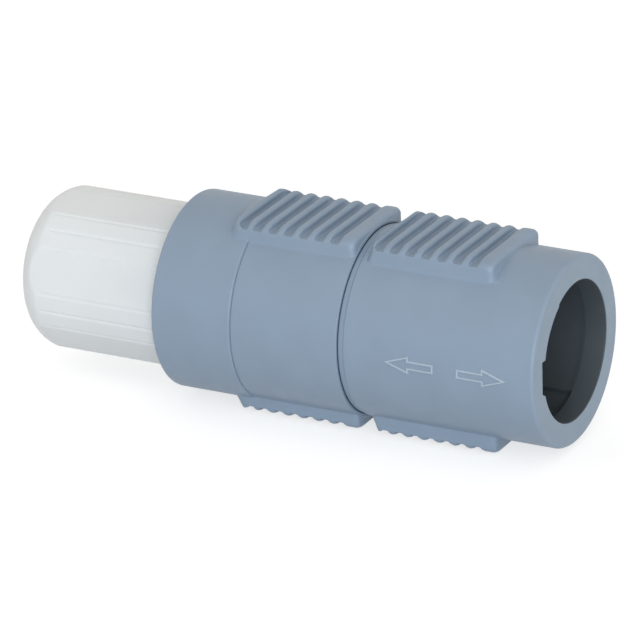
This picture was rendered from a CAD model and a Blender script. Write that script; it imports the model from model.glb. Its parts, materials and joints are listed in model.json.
import bpy
import json
import math
import numpy as np
from mathutils import Matrix, Vector


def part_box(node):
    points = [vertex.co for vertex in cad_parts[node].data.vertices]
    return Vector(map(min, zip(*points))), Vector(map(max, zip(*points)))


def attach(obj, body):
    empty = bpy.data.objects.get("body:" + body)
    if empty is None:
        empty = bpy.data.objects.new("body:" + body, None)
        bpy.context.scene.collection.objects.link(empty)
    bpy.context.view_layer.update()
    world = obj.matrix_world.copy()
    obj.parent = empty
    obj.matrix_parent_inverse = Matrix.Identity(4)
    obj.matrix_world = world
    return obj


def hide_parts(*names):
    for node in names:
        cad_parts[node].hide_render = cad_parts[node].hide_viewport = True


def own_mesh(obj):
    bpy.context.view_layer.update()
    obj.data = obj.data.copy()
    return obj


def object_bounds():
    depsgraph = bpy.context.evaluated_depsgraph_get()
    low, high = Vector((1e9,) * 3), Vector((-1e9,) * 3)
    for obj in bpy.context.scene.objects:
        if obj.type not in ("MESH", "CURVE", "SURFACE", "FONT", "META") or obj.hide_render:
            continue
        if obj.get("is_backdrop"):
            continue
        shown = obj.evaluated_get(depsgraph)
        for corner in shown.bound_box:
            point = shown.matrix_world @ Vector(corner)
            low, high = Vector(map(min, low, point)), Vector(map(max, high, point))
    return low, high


# Push pull circular connector, cable mounted: its fine shapes and finishes over the fixed frame.
# Sizes are in millimetres. A depth is measured behind the front face, a radius from the axis,
# and an angle round the axis from straight up towards +Y, so the arrows' side is at 270 degrees.

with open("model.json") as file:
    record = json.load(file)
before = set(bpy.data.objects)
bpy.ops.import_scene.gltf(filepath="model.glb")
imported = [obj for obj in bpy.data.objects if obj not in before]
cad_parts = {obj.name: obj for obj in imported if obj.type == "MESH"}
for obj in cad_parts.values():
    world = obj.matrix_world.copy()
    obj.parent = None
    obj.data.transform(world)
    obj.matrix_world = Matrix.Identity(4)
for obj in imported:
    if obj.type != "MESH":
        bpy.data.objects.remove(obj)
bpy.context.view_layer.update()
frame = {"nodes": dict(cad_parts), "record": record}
mm = 0.001
print("frame loaded:", len(frame["nodes"]), "nodes")


def depthsOf(node):
    low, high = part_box(node)
    return -high.x / mm, -low.x / mm


def reachOf(node, axis):
    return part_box(node)[1][axis] / mm


neckEnd = depthsOf("coupling_sleeve")[1]
shellStart, shellEnd = depthsOf("rear_shell")
nutFront, nutEnd = depthsOf("cable_nut")
padTop = reachOf("coupling_sleeve", 2)
sleeveRadius = reachOf("coupling_sleeve", 1)
shellRadius = reachOf("rear_shell", 1)


# The camera looks down at the mouth from the arrows' side. Angles are in degrees.
cameraSetup = {
    "azimuth": 28.178,
    "elevation": 22.505,
    "roll": -1.847,
    "distance": 636,
    "lens": 328.8,
    "sensorWidth": 36,
    "nearLimit": 0.01,
    "aimRight": -27.814,
    "aimUp": 3.404,
}


def addCamera():
    az, el, roll = (math.radians(cameraSetup[k]) for k in ("azimuth", "elevation", "roll"))
    back = Vector((math.sin(az) * math.cos(el), -math.cos(az) * math.cos(el), math.sin(el)))
    right = Vector((math.cos(az), math.sin(az), 0))
    up = back.cross(right)
    rolledRight = math.cos(roll) * right + math.sin(roll) * up
    rolledUp = math.cos(roll) * up - math.sin(roll) * right
    eye = (cameraSetup["aimRight"] * rolledRight + cameraSetup["aimUp"] * rolledUp
           + cameraSetup["distance"] * back) * mm
    data = bpy.data.cameras.new("camera")
    data.sensor_width = cameraSetup["sensorWidth"]
    data.lens = cameraSetup["lens"]
    data.clip_start = cameraSetup["nearLimit"]
    camera = bpy.data.objects.new("camera", data)
    bpy.context.scene.collection.objects.link(camera)
    turn = Matrix((rolledRight, rolledUp, back)).transposed().to_4x4()
    camera.matrix_world = Matrix.Translation(eye) @ turn
    bpy.context.scene.camera = camera
    return rolledUp, back


viewUp, viewBack = addCamera()
print("camera set")


# Small helpers for shapes.
def smoothStep(t):
    t = np.clip(t, 0, 1)
    return t * t * (3 - 2 * t)


def makeMesh(name, points, faces, sharpAngle=38):
    points = np.asarray(points, float) * mm
    faces = np.asarray(faces, int)
    a, b, c, d = (points[faces[:, i]] for i in range(4))
    # turned round where the faces would point inwards
    volume = np.einsum("ij,ij->i", a, np.cross(b, c) + np.cross(c, d)).sum()
    if volume < 0:
        faces = faces[:, ::-1]
    mesh = bpy.data.meshes.new(name)
    mesh.from_pydata(points.tolist(), [], faces.tolist())
    mesh.polygons.foreach_set("use_smooth", [True] * len(mesh.polygons))
    mesh.set_sharp_from_angle(angle=math.radians(sharpAngle))
    mesh.update()
    piece = bpy.data.objects.new(name, mesh)
    bpy.context.scene.collection.objects.link(piece)
    return piece


def ringMesh(name, grid, sharpAngle=38):
    # a grid of points, closed both round the axis and round its section
    columns, rows = grid.shape[:2]
    index = np.arange(columns * rows).reshape(columns, rows)
    beside = np.roll(index, -1, axis=0)
    faces = np.stack([index, np.roll(index, -1, axis=1), np.roll(beside, -1, axis=1), beside],
                     axis=-1).reshape(-1, 4)
    return makeMesh(name, grid.reshape(-1, 3), faces, sharpAngle)


def onAxis(depth, radius, angle):
    depth, radius, angle = np.broadcast_arrays(depth, radius, angle)
    return np.stack([-depth, radius * np.sin(angle), radius * np.cos(angle)], axis=-1)


def turnedRows(points, angles):
    # one ring of the grid for each depth and radius
    return np.stack([onAxis(depth, radius, angles) for depth, radius in points], axis=1)


def roundedEdge(depth, radius, size, start, end, steps=5):
    # depths and radii on an arc round a centre, from one angle to another in degrees
    turn = np.radians(np.linspace(start, end, steps + 1))
    return [(depth + size * math.cos(t), radius + size * math.sin(t)) for t in turn]


# Grip pads, alike on the sleeve and on the shell.
padSizes = {
    "width": 12,
    "flatWidth": 8.6,
    "shoulderRadius": 2.9,
    "shoulderShare": 0.95,
    "sideRounding": 0.4,
    "noseRounding": 0.65,
    "cornerRadius": 0.6,
    "cornerFade": 1.5,
    "curveFade": 2,
    "footFillet": 0.2,
    "ramp": 1,
    "land": 2.4,
    "grooves": 7,
    "groovePitch": 1.91,
    "grooveDepth": 0.8,
    "grooveFillet": 0.2,
    "ridgeRadius": 0.42,
}
# distances of the mesh's lines inside and outside a pad's edge, and from a groove's wall
edgeSteps = (0.001, 0.01, 0.04, 0.09, 0.16, 0.25)
footSteps = (0.001, 0.01, 0.04, 0.1, 0.18, 0.27, 0.36)
floorSteps = (0.12, 0.06, 0.02, 0.003)
ridgeSteps = (0.003, 0.02, 0.06, 0.12, 0.2, 0.32)


def padColumns(radius):
    # angles of lines that run along the pads, close together at their sides
    half, flat = padSizes["width"] / 2, padSizes["flatWidth"] / 2
    roundStart = half - padSizes["sideRounding"]
    across = list(np.linspace(0, flat - 0.15, 11)) + list(np.linspace(flat, roundStart, 9))
    across += list(np.linspace(roundStart, half - edgeSteps[-1], 3)[1:])
    across += [half - step for step in edgeSteps] + [half + step for step in footSteps]
    widths = sorted(set(round(y, 4) for y in across) | set(round(-y, 4) for y in across))
    top = [math.asin(y / radius) for y in widths]
    return top + [math.pi - a for a in top]


def barrelColumns(radius, step=2.2):
    # angles of the lines along a whole barrel, a step in degrees apart between the pads
    angles = padColumns(radius)
    edge = max(a for a in angles if a < math.pi / 2)
    count = round((180 - 2 * math.degrees(edge)) / step)
    side = list(np.linspace(edge, math.pi - edge, count + 1)[1:-1])
    angles += side + [-a for a in side]
    return np.array(sorted(a % (2 * math.pi) for a in angles))


def grooveSteps():
    # rows from the middle of a groove to the crest of a ridge, close together at the wall
    p = padSizes
    crest = p["groovePitch"] / 2
    wall = crest - p["ridgeRadius"]
    floor = [0, 0.5 * (wall - p["grooveFillet"]), wall - p["grooveFillet"]]
    floor += [wall - step for step in floorSteps]
    return floor + [wall + step for step in ridgeSteps] + [crest]


def padRows(start, end, rearCorner, frontFillet, keepRows):
    # depths of the rows along a pad, and how far each follows its front and its rear corners
    p = padSizes
    length, nose = end - start, p["noseRounding"]
    rows = [-s for s in footSteps if s <= frontFillet] + list(edgeSteps)
    rows += list(np.linspace(edgeSteps[-1], nose, 5)[1:])
    firstCrest = p["land"] - p["groovePitch"] / 2
    rows += list(np.linspace(nose, firstCrest, 6)[1:-1])
    for i in range(p["grooves"]):
        centre = p["land"] + i * p["groovePitch"]
        rows += [centre + side * t for t in grooveSteps() for side in (-1, 1)]
    lastCrest = p["land"] + (p["grooves"] - 0.5) * p["groovePitch"]
    rows += list(np.linspace(lastCrest, length - edgeSteps[-1], 5)[1:])
    rows += [length - s for s in edgeSteps[:-1]] + [length + s for s in footSteps]
    rows += [k - start for k in keepRows]
    rows = np.array(sorted(set(round(r, 5) for r in rows)))
    rampStart = length - p["ramp"]
    frontShare = 1 - np.clip((rows - nose) / (firstCrest - nose), 0, 1)
    rearFade = p["cornerFade"] + rearCorner / 2
    rearShare = 1 - np.clip((rampStart - rows) / rearFade, 0, 1)
    return rows + start, frontShare, rearShare


def cornerCurve(y, radius):
    # how far a pad's end lies back at this distance from the middle
    half, away = padSizes["width"] / 2, np.abs(y)
    side = np.clip(away - (half - radius), 0, radius)
    curve = radius - np.sqrt(radius ** 2 - side ** 2)
    return curve * np.clip(1 - (away - half - footSteps[-1]) / padSizes["curveFade"], 0, 1)


def grooveDrop(row):
    # depth of the surface below the ridges' crests, at a distance behind the pad's front
    p = padSizes
    along = row - p["land"]
    nearest = np.clip(np.round(along / p["groovePitch"]), 0, p["grooves"] - 1) * p["groovePitch"]
    away = np.abs(along - nearest)
    crest, ridge, fillet = p["groovePitch"] / 2, p["ridgeRadius"], p["grooveFillet"]
    wall = crest - ridge
    fromCrest = np.clip(crest - away, 0, ridge)
    rounded = ridge - np.sqrt(ridge ** 2 - fromCrest ** 2)
    corner = np.clip(away - (wall - fillet), 0, fillet)
    floor = p["grooveDepth"] - fillet + np.sqrt(fillet ** 2 - corner ** 2)
    return np.where(away < wall, floor, rounded)


def padHeight(row, depth, y, base, start, end, rearCorner, frontFillet):
    # height of the outside at a place across and along a pad, over the round barrel
    p = padSizes
    half, away = p["width"] / 2, np.abs(y)
    ahead = depth - start - cornerCurve(y, p["cornerRadius"])
    behind = end - depth - cornerCurve(y, rearCorner)
    shoulder = np.clip(away - p["flatWidth"] / 2, 0, p["shoulderRadius"] * p["shoulderShare"])
    top = padTop - p["shoulderRadius"] + np.sqrt(p["shoulderRadius"] ** 2 - shoulder ** 2)
    side = np.clip(p["sideRounding"] - (half - away), 0, p["sideRounding"])
    sideTop = top - p["sideRounding"] + np.sqrt(p["sideRounding"] ** 2 - side ** 2)
    drop = grooveDrop(row - start)
    floorShare = smoothStep(drop / p["grooveDepth"])
    height = (padTop - drop) * floorShare + (top - drop) * (1 - floorShare)
    ramp = base + (top - base) * smoothStep(behind / p["ramp"])
    nose = np.clip(p["noseRounding"] - ahead, 0, p["noseRounding"])
    noseTop = sideTop - p["noseRounding"] + np.sqrt(p["noseRounding"] ** 2 - nose ** 2)
    height = np.minimum(height, np.maximum(np.minimum(ramp, noseTop), base))
    inside = (ahead > 0) & (behind > 0) & (away < half)
    fillet = np.where(ahead < 0, frontFillet, p["footFillet"])
    gap = np.hypot(np.clip(np.maximum(-ahead, -behind), 0, None), np.clip(away - half, 0, None))
    foot = fillet - np.sqrt(np.clip(fillet ** 2 - np.clip(fillet - gap, 0, None) ** 2, 0, None))
    foot = np.minimum(foot, np.clip(ramp - base, 0, None))
    return np.where(inside, height, base + foot)


def barrelOutside(angles, radius, baseCurve, sizes, lead, tail, keepRows=()):
    # grid of the outside of a barrel with its two pads, from the front to the rear. lead holds
    # the rows before the pads, with their shares of the front corners' curve, and tail the depths
    # of the rows behind them
    start, end = sizes["padStart"], sizes["padEnd"]
    rearCorner, frontFillet = sizes["rearCorner"], sizes["frontFillet"]
    rows, frontShare, rearShare = padRows(start, end, rearCorner, frontFillet, keepRows)
    rows = np.concatenate([[d for d, share in lead], rows, tail])
    frontShare = np.concatenate([[share for d, share in lead], frontShare, np.zeros(len(tail))])
    rearShare = np.concatenate([np.zeros(len(lead)), rearShare, np.zeros(len(tail))])
    half = padSizes["width"] / 2
    wide = radius * np.sin(angles)[:, None]
    depth = (rows + cornerCurve(wide, padSizes["cornerRadius"]) * frontShare
             - cornerCurve(wide, rearCorner) * rearShare)
    base = np.interp(depth, [d for d, r in baseCurve], [r for d, r in baseCurve])
    across = np.abs(wide) <= half + footSteps[-1] + 0.01
    y = np.where(across, wide, base * np.sin(angles)[:, None])
    barrel = np.sqrt(base ** 2 - y ** 2)
    row = rows * np.ones_like(depth)
    onPad = padHeight(row, depth, y, barrel, start, end, rearCorner, frontFillet)
    sign = np.where(np.cos(angles) < 0, -1, 1)[:, None]
    return np.stack([-depth, y * np.ones_like(depth), np.where(across, onPad, barrel) * sign],
                    axis=-1)


# Coupling sleeve: the barrel that slides back to unlock.
sleeveSizes = {
    "barrelLength": 23.05,
    "padStart": 6.95,
    "padEnd": 22.41,
    "rearCorner": 0.6,
    "frontFillet": 0.08,
    "rimRounding": 0.42,
    "rearRounding": 0.2,
    "bandRadius": 10.62,
    "bandEnd": 23.65,
    "neckRadius": 9.85,
    "neckChamfer": 0.2,
    "chamberRadius": 8.9,
    "webStart": 15.15,
    "webEnd": 16.95,
    "stopRoomStart": 13.15,
    "boreRadius": 8.15,
    "mouthRadius": 7.95,
    "mouthRounding": 0.12,
    "lip": 2.5,
    "reliefStart": 0.4,
    "reliefEnd": 0.9,
    "pocketLength": 5,
    "pocketRadius": 8.75,
    "pocketAngle": 64,
    "slotWidth": 3.8,
    "slotDepth": 0.45,
    "slotFlare": 0.35,
    "slotRounding": 0.1,
    "keyLand": 0.22,
    "keyLandEnd": 331,
    "keyLandFade": 0.03,
}


def slotOutline():
    # section of the key slot at -Y, from its upper side to its slightly flared lower side
    s = sleeveSizes
    floor, half = -(s["mouthRadius"] + s["slotDepth"]), s["slotWidth"] / 2
    turn = s["slotRounding"]
    points = [(floor + turn, half), (floor + 0.3 * turn, half - 0.3 * turn), (floor, half - turn)]
    points += [(floor, z) for z in np.linspace(half - turn, turn - half, 8)[1:-1]]
    points += [(floor, turn - half), (floor + 0.3 * turn, 0.3 * turn - half - 0.02),
               (floor + turn, -half - 0.05)]
    return points


def makeSleeve():
    s = sleeveSizes
    # columns of the barrel, then of the key slot and of the pockets' sides
    angles = list(barrelColumns(sleeveRadius))
    half, mouth = s["slotWidth"] / 2, s["mouthRadius"]
    upper = math.atan2(-math.sqrt(mouth ** 2 - half ** 2), half) % (2 * math.pi)
    wide = half + s["slotFlare"]
    lower = math.atan2(-math.sqrt(mouth ** 2 - wide ** 2), -wide) % (2 * math.pi)
    angles = [a for a in angles if not lower - 0.02 < a < upper + 0.02]
    slot = {math.atan2(y, z) % (2 * math.pi): math.hypot(y, z) for y, z in slotOutline()}
    pocketSides = [math.radians(centre + side * s["pocketAngle"] / 2 + gap)
                   for centre in (0, 180) for side in (-1, 1) for gap in (-0.05, 0.05)]
    angles += [upper, lower] + [a % (2 * math.pi) for a in pocketSides] + list(slot)
    angles += [math.radians(s["keyLandEnd"] - back) for back in (0, 0.6, 1.2, 1.8)]
    angles = np.array(sorted(set(angles)))
    slotRadius = np.array([slot.get(a, 0) for a in angles])
    fromUpright = np.abs((np.degrees(angles) + 90) % 180 - 90)
    inPocket = fromUpright < s["pocketAngle"] / 2

    rim, back = s["rimRounding"], s["rearRounding"]
    length = s["barrelLength"]
    rimCurve = roundedEdge(rim, sleeveRadius - rim, rim, 180, 90, 7)
    rearCurve = roundedEdge(length - back, sleeveRadius - back, back, 90, 0, 4)
    baseCurve = [(rim, sleeveRadius), (length - back, sleeveRadius)]
    lead = [(d, 0) for d in np.linspace(rim + 0.03, s["padStart"] - 0.8, 5)]
    tail = [length - back - 0.03]
    outside = barrelOutside(angles, sleeveRadius, baseCurve, s, lead, tail)

    # the rest of the section, from behind the barrel round through the bore to the face
    pocketEnd, turn = s["lip"] + s["pocketLength"], s["mouthRounding"]
    rear = rearCurve + [
        (length, s["bandRadius"] + 0.02), (length + 0.02, s["bandRadius"]),
        (s["bandEnd"] - 0.03, s["bandRadius"]), (s["bandEnd"], s["bandRadius"] - 0.03),
        (s["bandEnd"], s["neckRadius"]), (neckEnd - s["neckChamfer"], s["neckRadius"]),
        (neckEnd, s["neckRadius"] - s["neckChamfer"]), (neckEnd, s["chamberRadius"]),
        (s["webEnd"], s["chamberRadius"])]
    throat = [
        (s["webEnd"], s["boreRadius"]), (s["webStart"], s["boreRadius"]),
        (s["webStart"], s["chamberRadius"]), (s["stopRoomStart"], s["chamberRadius"]),
        (s["stopRoomStart"], s["boreRadius"]), (pocketEnd + 0.002, s["boreRadius"])]
    pocket = [(pocketEnd, s["boreRadius"]), (s["lip"] + s["reliefEnd"], s["boreRadius"]),
              (s["lip"] + s["reliefStart"], s["boreRadius"] - 0.1), (s["lip"] + 0.002, mouth)]
    mouthCurve = [(s["lip"], mouth)] + roundedEdge(turn, mouth + turn, turn, 270, 180, 4)
    face = [(0, r) for r in np.linspace(mouth + turn + 0.05, sleeveRadius - rim - 0.05, 4)]

    # the lip is a little thicker from the slot's upper side to a small step above it
    landEnd = math.radians(s["keyLandEnd"])
    land = s["keyLand"] * smoothStep((landEnd - angles) / s["keyLandFade"])
    land = land * (angles > upper - 0.001)

    def keyedRows(points, pocketRadius=None):
        # rings that follow the key slot, and the pockets where a radius is given for them
        keyed = []
        for depth, radius in points:
            radius = radius - land if depth <= s["lip"] + 0.01 else radius
            radii = np.maximum(radius, slotRadius)
            if pocketRadius is not None:
                radii = np.where(inPocket, pocketRadius, radii)
            keyed.append((depth, radii))
        return turnedRows(keyed, angles)

    before = [turnedRows(rimCurve, angles), outside, turnedRows(rear, angles)]
    bore = [keyedRows(throat), keyedRows(pocket, s["pocketRadius"]), keyedRows(mouthCurve)]
    grid = np.concatenate(before + bore + [keyedRows(face)], axis=1)
    piece = ringMesh("sleeve_body", grid)
    boreStart = sum(g.shape[1] for g in before)
    boreEnd = boreStart + sum(g.shape[1] for g in bore) - 2
    # the faces of the bore, which are darker
    row = np.arange(len(piece.data.polygons)) % grid.shape[1]
    isBore = (row >= boreStart - 1) & (row < boreEnd)
    return piece, isBore


sleeve, sleeveBore = makeSleeve()
print("sleeve made:", len(sleeve.data.polygons), "faces")


# Rear shell: the fixed half that the hand holds.
shellSizes = {
    "midRadius": 11.05,
    "stepDepth": 36.8,
    "seamDepth": 0.13,
    "padStart": 23.8,
    "padEnd": 39.56,
    "rearCorner": 1.1,
    "frontFillet": 0.06,
    "edgeRounding": 0.22,
    "frontRounding": 0.08,
    "frontBore": 10.68,
    "frontBoreEnd": 24.4,
    "neckBore": 9.9,
    "spigotBore": 8.4,
    "flangeSeat": 33.5,
    "wallStart": 36.5,
    "wallEnd": 37.5,
    "wallHole": 6.9,
    "threadBore": 8.9,
    "nutSeat": 45.15,
    "nutRoom": 9.4,
    "roomChamfer": 0.15,
    "boreChamfer": 0.05,
}


def makeShell():
    s = shellSizes
    angles = barrelColumns(sleeveRadius)
    mid, turn, step = s["midRadius"], s["edgeRounding"], s["stepDepth"]
    # a fine seam, with the rounded edge of the larger rear barrel behind it
    seam = [(step - 0.14, mid), (step - 0.08, mid - 0.015), (step - 0.02, mid - s["seamDepth"]),
            (step + 0.03, mid - s["seamDepth"]), (step + 0.06, shellRadius - 0.12),
            (step + 0.12, shellRadius - 0.04), (step + 0.22, shellRadius)]
    front = s["frontRounding"]
    frontCurve = roundedEdge(shellStart + front, mid - front, front, 180, 90, 5)
    rearCurve = roundedEdge(shellEnd - turn, shellRadius - turn, turn, 90, 0, 5)
    baseCurve = frontCurve + seam + [(shellEnd - turn, shellRadius)]
    lead = [(shellStart + 0.002 * i, 0.05 * i) for i in range(7)]
    tail = list(np.linspace(s["padEnd"] + 0.9, shellEnd - turn - 0.02, 6))
    outside = barrelOutside(angles, sleeveRadius, baseCurve, s, lead, tail, [d for d, r in seam])
    roomChamfer, boreChamfer = s["roomChamfer"], s["boreChamfer"]
    inside = rearCurve + [
        (shellEnd, s["nutRoom"] + roomChamfer), (shellEnd - roomChamfer, s["nutRoom"]),
        (s["nutSeat"], s["nutRoom"]), (s["nutSeat"], s["threadBore"]),
        (s["wallEnd"], s["threadBore"]), (s["wallEnd"], s["wallHole"]),
        (s["wallStart"], s["wallHole"]), (s["wallStart"], s["spigotBore"]),
        (s["flangeSeat"], s["spigotBore"]), (s["flangeSeat"], s["neckBore"]),
        (s["frontBoreEnd"], s["neckBore"]), (s["frontBoreEnd"], s["frontBore"]),
        (shellStart + boreChamfer, s["frontBore"]), (shellStart, s["frontBore"] + boreChamfer)]
    grid = np.concatenate([outside, turnedRows(inside, angles)], axis=1)
    return ringMesh("shell_body", grid)


shell = makeShell()
print("shell made:", len(shell.data.polygons), "faces")


# Cable nut: six wide flats with two narrow facets between each pair, over a threaded spigot.
nutSizes = {
    "cornerRadius": 9.3,
    "roundRadius": 9.4,
    "noseRadius": 4.2,
    "bodyStart": 45.25,
    "wideFlat": 33,
    "turn": -12.6,
    "lineDepth": 0.16,
    "lineWidth": 0.28,
    "lineStart": 2.9,
    "lineFade": 1.2,
    "threadRadius": 8.8,
    "threadPitch": 1.5,
    "threadDepth": 0.6,
    "threadRows": 68,
    "ridgeWidth": 1.6,
    "ridgeSteepness": 4.2,
    "threadFadeFront": 0.6,
    "threadFadeRear": 0.5,
    "bore": 7.2,
    "boreEnd": 55.25,
    "cavity": 6.4,
    "holeRadius": 4.25,
    "holeLength": 2.5,
    "holeRounding": 0.25,
}


def nutCorners():
    # angles of the corners, three to every sixth of a turn
    half = nutSizes["wideFlat"] / 2
    return np.radians(sorted((60 * k + a + nutSizes["turn"]) % 360
                             for k in range(6) for a in (-half, half, 30)))


def makeNut():
    n = nutSizes
    corners = nutCorners()
    lineSpan = n["lineWidth"] / n["cornerRadius"]
    angles, facet, line = [], [], []
    # columns of each facet, close together at its corners, where fine lines are cut
    for i, corner in enumerate(corners):
        after = corners[(i + 1) % len(corners)] + (2 * math.pi if i + 1 == len(corners) else 0)
        halfSpan, middle = (after - corner) / 2, (after + corner) / 2
        count = max(4, round(math.degrees(2 * halfSpan) / 3))
        steps = [corner, corner + lineSpan / 2, corner + lineSpan]
        steps += list(np.linspace(corner + lineSpan, after - lineSpan, count + 1)[1:])
        steps += [after - lineSpan / 2]
        for a in steps:
            angles.append(a)
            facet.append(n["cornerRadius"] * math.cos(halfSpan) / math.cos(a - middle))
            line.append(max(0, 1 - min(abs(a - corner), abs(after - a)) / lineSpan))
    angles, facet, line = np.array(angles), np.array(facet), np.array(line)

    # the facets run back until the rounded nose cuts them off
    nose, limit = n["noseRadius"], n["roundRadius"]
    centre = nutEnd - nose
    body = list(np.linspace(n["bodyStart"] + 0.12, centre - 0.6, 7))
    body += list(np.linspace(centre - 0.4, centre + nose * 0.7, 26))
    sweep = np.radians(np.linspace(44, 0, 14))
    body += [centre + nose * math.cos(a) for a in sweep if centre + nose * math.cos(a) > body[-1]]
    rows = []
    for depth in body:
        reach = limit - nose + math.sqrt(max(nose ** 2 - max(depth - centre, 0) ** 2, 0))
        fade = smoothStep((nutEnd - n["lineStart"] - depth) / n["lineFade"])
        cut = n["lineDepth"] * line * fade
        rows.append(onAxis(depth, np.minimum(facet - cut, reach), angles))
    hole, turn = n["holeRadius"], n["holeRounding"]
    rows.append(onAxis(nutEnd, (limit - nose + hole + turn) / 2, angles))
    for a in np.radians(np.linspace(0, 90, 5)):
        depth, radius = nutEnd - turn + turn * math.cos(a), hole + turn - turn * math.sin(a)
        rows.append(onAxis(depth, radius, angles))
    holeEnd, rootRadius = nutEnd - n["holeLength"], n["threadRadius"] - n["threadDepth"]
    for depth, radius in [(holeEnd, hole), (holeEnd, n["cavity"]),
                          (n["boreEnd"], n["cavity"]), (n["boreEnd"], n["bore"]),
                          (nutFront, n["bore"]), (nutFront, rootRadius)]:
        rows.append(onAxis(depth, radius, angles))
    # the thread's ridges wind round the spigot and fade out at both ends
    for depth in np.linspace(nutFront + 0.02, n["bodyStart"] - 0.02, n["threadRows"]):
        phase = (depth / n["threadPitch"] + angles / (2 * math.pi)) % 1
        ridge = smoothStep(n["ridgeWidth"] - np.abs(phase - 0.5) * n["ridgeSteepness"])
        ends = (smoothStep((depth - nutFront) / n["threadFadeFront"])
                * smoothStep((n["bodyStart"] - depth) / n["threadFadeRear"]))
        radius = n["threadRadius"] - n["threadDepth"] * (1 - ridge * ends)
        rows.append(onAxis(depth, radius, angles))
    for under in (0.12, 0.03):
        rows.append(onAxis(n["bodyStart"], facet - under, angles))
    return ringMesh("nut_body", np.stack(rows, axis=1), 24)


nut = makeNut()
print("nut made:", len(nut.data.polygons), "faces")


# Return spring: round wire, with its first and last turns lying closed.
springSizes = {
    "wire": 0.6,
    "turns": 7,
    "stepsPerTurn": 48,
    "sides": 12,
    "endGap": 0.05,
    "travel": 0.6,
}


def makeSpring():
    s = springSizes
    low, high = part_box("return_spring")
    # the wire's centre line, in depth, and the coil's radius
    first, last = -high.x / mm + s["wire"] / 2, -low.x / mm - s["wire"] / 2
    coil = high.z / mm - s["wire"] / 2
    closed = s["wire"] + s["endGap"]
    openPitch = (last - first - 2 * closed) / (s["turns"] - 2)
    count = s["turns"] * s["stepsPerTurn"]
    points = []
    for i in range(count + 1):
        t = i / s["stepsPerTurn"]
        if t < 1:
            centre = first + closed * t
        elif t > s["turns"] - 1:
            centre = last - closed * (s["turns"] - t)
        else:
            centre = first + closed + openPitch * (t - 1)
        for j in range(s["sides"]):
            around = 2 * math.pi * j / s["sides"]
            r = coil + s["wire"] / 2 * math.cos(around)
            a = 2 * math.pi * t
            points.append((-centre - s["wire"] / 2 * math.sin(around), r * math.sin(a),
                           r * math.cos(a)))
    n = s["sides"]
    faces = [(i * n + j, i * n + (j + 1) % n, (i + 1) * n + (j + 1) % n, (i + 1) * n + j)
             for i in range(count) for j in range(n)]
    # strips that close the wire's first and last ends
    strips = [(j, j + 1, n - 2 - j, n - 1 - j) for j in range(n // 2 - 1)]
    faces += [strip[::-1] for strip in strips]
    faces += [tuple(count * n + k for k in strip) for strip in strips]
    return makeMesh("spring_wire", points, faces, 50)


spring = makeSpring()
print("spring made")


# Arrows: raised outlines on the sleeve, one for push and one for pull.
arrowSizes = {
    "length": 6,
    "headLength": 3,
    "headWidth": 2.1,
    "shaftWidth": 1.05,
    "line": 0.22,
    "proud": 0.15,
    "root": 0.12,
    "start": 3.2,
    "gap": 2.8,
}


def arrowOutline(inset):
    # an arrow that points along X, drawn in by an inset
    a = arrowSizes
    slope = a["headWidth"] / 2 / a["headLength"]
    tip = a["length"] - inset * math.sqrt(1 + 1 / slope ** 2)
    back = a["length"] - a["headLength"] + inset
    head, shaft = (tip - back) * slope, a["shaftWidth"] / 2 - inset
    corners = [(inset, -shaft), (back, -shaft), (back, -head), (tip, 0), (back, head),
               (back, shaft), (inset, shaft)]
    points = []
    for i, corner in enumerate(corners):
        following = corners[(i + 1) % len(corners)]
        for t in (0, 0.05, 0.35, 0.65, 0.95):
            points.append(tuple(np.array(corner) * (1 - t) + np.array(following) * t))
    return np.array(points)


def makeArrow(name, start, backwards):
    a = arrowSizes
    line, proud, root = a["line"], a["proud"], a["root"]
    # inset and height of the raised line's section
    section = [(0.005, -root), (0, 0), (0.01, proud - 0.07), (0.05, proud - 0.01),
               (line / 2, proud), (line - 0.05, proud - 0.01), (line - 0.01, proud - 0.07),
               (line, 0), (line - 0.005, -root)]
    rows = []
    for inset, height in section:
        outline = arrowOutline(inset)
        along = outline[:, 0] if backwards else a["length"] - outline[:, 0]
        z = outline[:, 1]
        y = -np.sqrt((sleeveRadius + height) ** 2 - z ** 2)
        rows.append(np.stack([-(start + along), y, z], axis=-1))
    return ringMesh(name, np.stack(rows, axis=1), 30)


pullStart = arrowSizes["start"] + arrowSizes["length"] + arrowSizes["gap"]
pushArrow = makeArrow("arrow_push", arrowSizes["start"], False)
pullArrow = makeArrow("arrow_pull", pullStart, True)
print("arrows made")


# Finishes. Colours are given as they look, from 0 to 255, patch and grain sizes in millimetres.
grainHeight = 0.00002
smudgeShare = 0.35


def tone(red, green, blue, share=1):
    def linear(v):
        v = v / 255
        return v / 12.92 if v <= 0.04045 else ((v + 0.055) / 1.055) ** 2.4
    return tuple(min(1, linear(v) * share) for v in (red, green, blue)) + (1,)


def newNode(tree, kind, **values):
    node = tree.nodes.new(kind)
    for key, value in values.items():
        if hasattr(node, key):
            setattr(node, key, value)
        else:
            node.inputs[key].default_value = value
    return node


def noise(tree, place, size, detail=2):
    # size is the width of one patch in millimetres
    node = newNode(tree, "ShaderNodeTexNoise", Scale=1 / (size * mm), Detail=detail)
    tree.links.new(place.outputs["Object"], node.inputs["Vector"])
    return node


def spread(tree, source, low, high, fromLow=0.3, fromHigh=0.7):
    # the source's range, laid over the range from low to high
    node = newNode(tree, "ShaderNodeMapRange")
    for key, value in (("From Min", fromLow), ("From Max", fromHigh), ("To Min", low),
                       ("To Max", high)):
        node.inputs[key].default_value = value
    tree.links.new(source, node.inputs["Value"])
    return node


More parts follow.
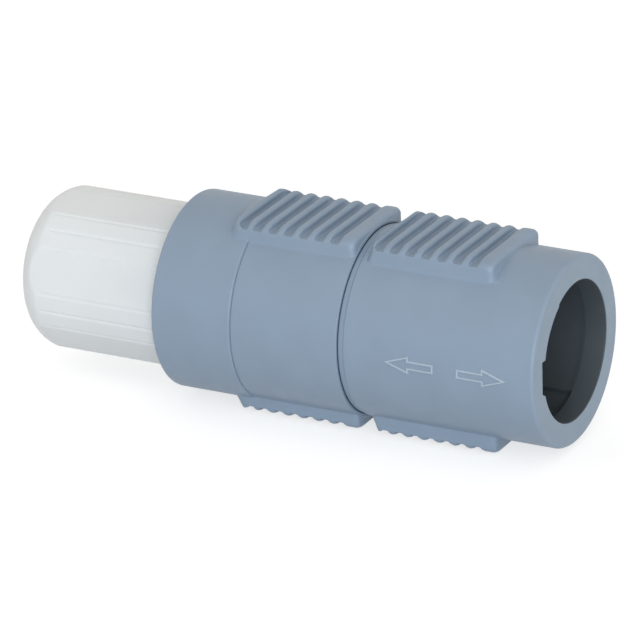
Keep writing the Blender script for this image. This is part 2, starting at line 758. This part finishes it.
def mixColours(tree, factor, first, second):
    mix = newNode(tree, "ShaderNodeMix", data_type="RGBA")
    tree.links.new(factor, mix.inputs["Factor"])
    sockets = [socket for socket in mix.inputs if socket.type == "RGBA"]
    sockets[0].default_value, sockets[1].default_value = first, second
    return [socket for socket in mix.outputs if socket.type == "RGBA"][0]


def finish(name, colour, patch, patchSize, roughness, rough, grainSize, grain, metallic=0):
    # a colour with soft darker patches, a roughness that varies, and a fine surface grain
    material = bpy.data.materials.new(name)
    material.use_nodes = True
    tree = material.node_tree
    shader = tree.nodes["Principled BSDF"]
    place = tree.nodes.new("ShaderNodeTexCoord")
    patches = noise(tree, place, patchSize, 3)
    share = spread(tree, patches.outputs["Fac"], 0, 1)
    mixed = mixColours(tree, share.outputs["Result"], tone(*colour),
                       tone(*colour, share=1 - patch))
    tree.links.new(mixed, shader.inputs["Base Color"])
    smudge = noise(tree, place, patchSize * smudgeShare, 2)
    roughShare = spread(tree, smudge.outputs["Fac"], roughness - rough, roughness + rough)
    tree.links.new(roughShare.outputs["Result"], shader.inputs["Roughness"])
    fine = noise(tree, place, grainSize, 4)
    bump = newNode(tree, "ShaderNodeBump", Strength=grain, Distance=grainHeight)
    tree.links.new(fine.outputs["Fac"], bump.inputs["Height"])
    tree.links.new(bump.outputs["Normal"], shader.inputs["Normal"])
    shader.inputs["Metallic"].default_value = metallic
    return material


housingLook = finish(
    "satin_housing_plastic", (146, 164, 184), patch=0.05, patchSize=4.5,
    roughness=0.46, rough=0.04, grainSize=0.22, grain=0.5)
arrowLook = finish(
    "raised_line_plastic", (184, 199, 213), patch=0.04, patchSize=2,
    roughness=0.42, rough=0.04, grainSize=0.22, grain=0.4)
boreLook = finish(
    "dark_bore_plastic", (77, 85, 91), patch=0.08, patchSize=3,
    roughness=0.5, rough=0.05, grainSize=0.22, grain=0.5)
nutLook = finish(
    "white_nylon", (247, 251, 253), patch=0.03, patchSize=5,
    roughness=0.42, rough=0.04, grainSize=0.3, grain=0.35)

# light passes a little way into the white nylon
nutGlow = {"Subsurface Weight": 0.35, "Subsurface Radius": (1, 1, 1), "Subsurface Scale": 0.006}
for socket, value in nutGlow.items():
    nutLook.node_tree.nodes["Principled BSDF"].inputs[socket].default_value = value

innerLook = finish(
    "dark_inner_plastic", (62, 68, 74), patch=0.12, patchSize=3,
    roughness=0.5, rough=0.05, grainSize=0.25, grain=0.6)
insulatorLook = finish(
    "black_insulator", (40, 42, 44), patch=0.15, patchSize=2,
    roughness=0.45, rough=0.06, grainSize=0.2, grain=0.6)
retainerLook = finish(
    "natural_retainer", (202, 200, 186), patch=0.06, patchSize=2.5,
    roughness=0.5, rough=0.05, grainSize=0.2, grain=0.5)
interfaceLook = finish(
    "interface_rubber", (122, 48, 38), patch=0.12, patchSize=1.5,
    roughness=0.7, rough=0.08, grainSize=0.15, grain=0.9)
sealLook = finish(
    "black_seal_rubber", (34, 34, 36), patch=0.2, patchSize=1.2,
    roughness=0.6, rough=0.1, grainSize=0.12, grain=0.9)
springLook = finish(
    "spring_steel", (190, 192, 196), patch=0.12, patchSize=0.8,
    roughness=0.28, rough=0.08, grainSize=0.1, grain=0.4, metallic=1)
stopLook = finish(
    "stop_ring_steel", (184, 186, 188), patch=0.1, patchSize=1,
    roughness=0.32, rough=0.08, grainSize=0.1, grain=0.5, metallic=1)
contactLook = finish(
    "gold_contact", (222, 184, 96), patch=0.08, patchSize=0.8,
    roughness=0.24, rough=0.06, grainSize=0.08, grain=0.3, metallic=1)
gripLook = finish(
    "black_grommet_rubber", (44, 44, 46), patch=0.15, patchSize=1.5,
    roughness=0.68, rough=0.08, grainSize=0.15, grain=0.9)
nylonLook = finish(
    "natural_nylon", (216, 215, 206), patch=0.05, patchSize=2.5,
    roughness=0.42, rough=0.05, grainSize=0.2, grain=0.4)

looks = {
    "inner_barrel": innerLook,
    "insert_clamp_ring": innerLook,
    "front_insulator": insulatorLook,
    "rear_insulator": insulatorLook,
    "contact_retainer": retainerLook,
    "interface_seal": interfaceLook,
    "mating_seal": sealLook,
    "barrel_seal": sealLook,
    "stop_ring": stopLook,
    "return_spring": springLook,
    "cable_grommet": gripLook,
    "cable_collet": nylonLook,
    "clamp_ring": nylonLook,
    "coupling_sleeve": housingLook,
    "rear_shell": housingLook,
    "cable_nut": nutLook,
}
for number in range(1, 11):
    looks["contact_%02d" % number] = contactLook
for name, node in frame["nodes"].items():
    look = looks[name]
    if not node.material_slots:
        node.data.materials.append(look)
    for place in node.material_slots:
        place.material = look
for piece, look in ((sleeve, housingLook), (shell, housingLook), (nut, nutLook),
                    (spring, springLook), (pushArrow, arrowLook), (pullArrow, arrowLook)):
    piece.data.materials.append(look)
sleeve.data.materials.append(boreLook)
sleeve.data.polygons.foreach_set("material_index", sleeveBore.astype(int))
print("finishes set")


# Each new piece stands for its node and moves with the same body.
bodyOf = {node: body for body, nodes in frame["record"]["behaviour"]["bodies"].items()
          for node in nodes}
for piece, node, slot in ((sleeve, "coupling_sleeve", "housing"), (shell, "rear_shell", "housing"),
                          (nut, "cable_nut", "nut_nylon"),
                          (spring, "return_spring", "spring_steel")):
    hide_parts(node)
    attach(piece, bodyOf[node])
for piece in (pushArrow, pullArrow):
    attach(piece, bodyOf["coupling_sleeve"])

# the spring shortens against the barrel's flange as the sleeve is pulled back
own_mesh(spring)
print("pieces joined to their bodies")


# Studio: a pale floor, a white surround and soft light from the camera's side.
studio = {
    "surround": 0.6,
    "surroundTint": (1, 0.985, 0.945, 1),
    "floorColour": 0.6,
    "floorLift": 0.66,
    "floorHalf": 3,
    "keyPower": 3.5,
    "keyDrop": 0.3,
    "keyDistance": 0.8,
    "keyTint": (0.91, 1, 1.1),
    "sidePower": 0.5,
    "sideDirection": (1, -0.2, 0.25),
    "sideDistance": 0.7,
    "sideTint": (1, 0.97, 0.82),
    "lampSize": 0.5,
}


def seenDirectly(tree):
    # 1 for what the camera sees straight on, in a gloss or through something clear
    path = tree.nodes.new("ShaderNodeLightPath")
    total = path.outputs["Is Camera Ray"]
    for name in ("Is Glossy Ray", "Is Transmission Ray"):
        add = newNode(tree, "ShaderNodeMath", operation="ADD", use_clamp=True)
        tree.links.new(total, add.inputs[0])
        tree.links.new(path.outputs[name], add.inputs[1])
        total = add.outputs[0]
    return total


def makeSurround():
    world = bpy.data.worlds.new("surround")
    bpy.context.scene.world = world
    world.use_nodes = True
    tree = world.node_tree
    background = tree.nodes["Background"]
    seen = seenDirectly(tree)
    level = spread(tree, seen, studio["surround"], 1, 0, 1)
    tree.links.new(level.outputs["Result"], background.inputs["Strength"])
    colour = mixColours(tree, seen, studio["surroundTint"], (1, 1, 1, 1))
    tree.links.new(colour, background.inputs["Color"])


def makeFloor():
    size, low = studio["floorHalf"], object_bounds()[0].z
    mesh = bpy.data.meshes.new("floor")
    mesh.from_pydata([(x * size, y * size, low) for x, y in ((-1, -1), (1, -1), (1, 1), (-1, 1))],
                     [], [(0, 1, 2, 3)])
    floor = bpy.data.objects.new("floor", mesh)
    bpy.context.scene.collection.objects.link(floor)
    material = bpy.data.materials.new("pale_floor")
    material.use_nodes = True
    tree = material.node_tree
    tree.nodes.remove(tree.nodes["Principled BSDF"])
    diffuse = newNode(tree, "ShaderNodeBsdfDiffuse", Color=(studio["floorColour"],) * 3 + (1,))
    lift = newNode(tree, "ShaderNodeEmission", Color=(1, 1, 1, 1))
    level = spread(tree, seenDirectly(tree), 0, studio["floorLift"], 0, 1)
    tree.links.new(level.outputs["Result"], lift.inputs["Strength"])
    both = tree.nodes.new("ShaderNodeAddShader")
    tree.links.new(diffuse.outputs[0], both.inputs[0])
    tree.links.new(lift.outputs[0], both.inputs[1])
    tree.links.new(both.outputs[0], tree.nodes["Material Output"].inputs["Surface"])
    mesh.materials.append(material)
    floor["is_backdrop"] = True


def addLamp(name, direction):
    data = bpy.data.lights.new(name, "AREA")
    data.color = studio[name + "Tint"]
    data.shape = "DISK"
    data.size = studio["lampSize"]
    data.energy = studio[name + "Power"]
    lamp = bpy.data.objects.new(name, data)
    low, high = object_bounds()
    middle = (low + high) / 2
    direction = direction.normalized()
    lamp.location = middle + direction * studio[name + "Distance"]
    lamp.rotation_euler = direction.to_track_quat("Z", "Y").to_euler()
    bpy.context.scene.collection.objects.link(lamp)


makeSurround()
makeFloor()
addLamp("key", viewBack - studio["keyDrop"] * viewUp)
addLamp("side", Vector(studio["sideDirection"]))
bpy.context.scene.view_settings.view_transform = "Standard"
print("studio ready")
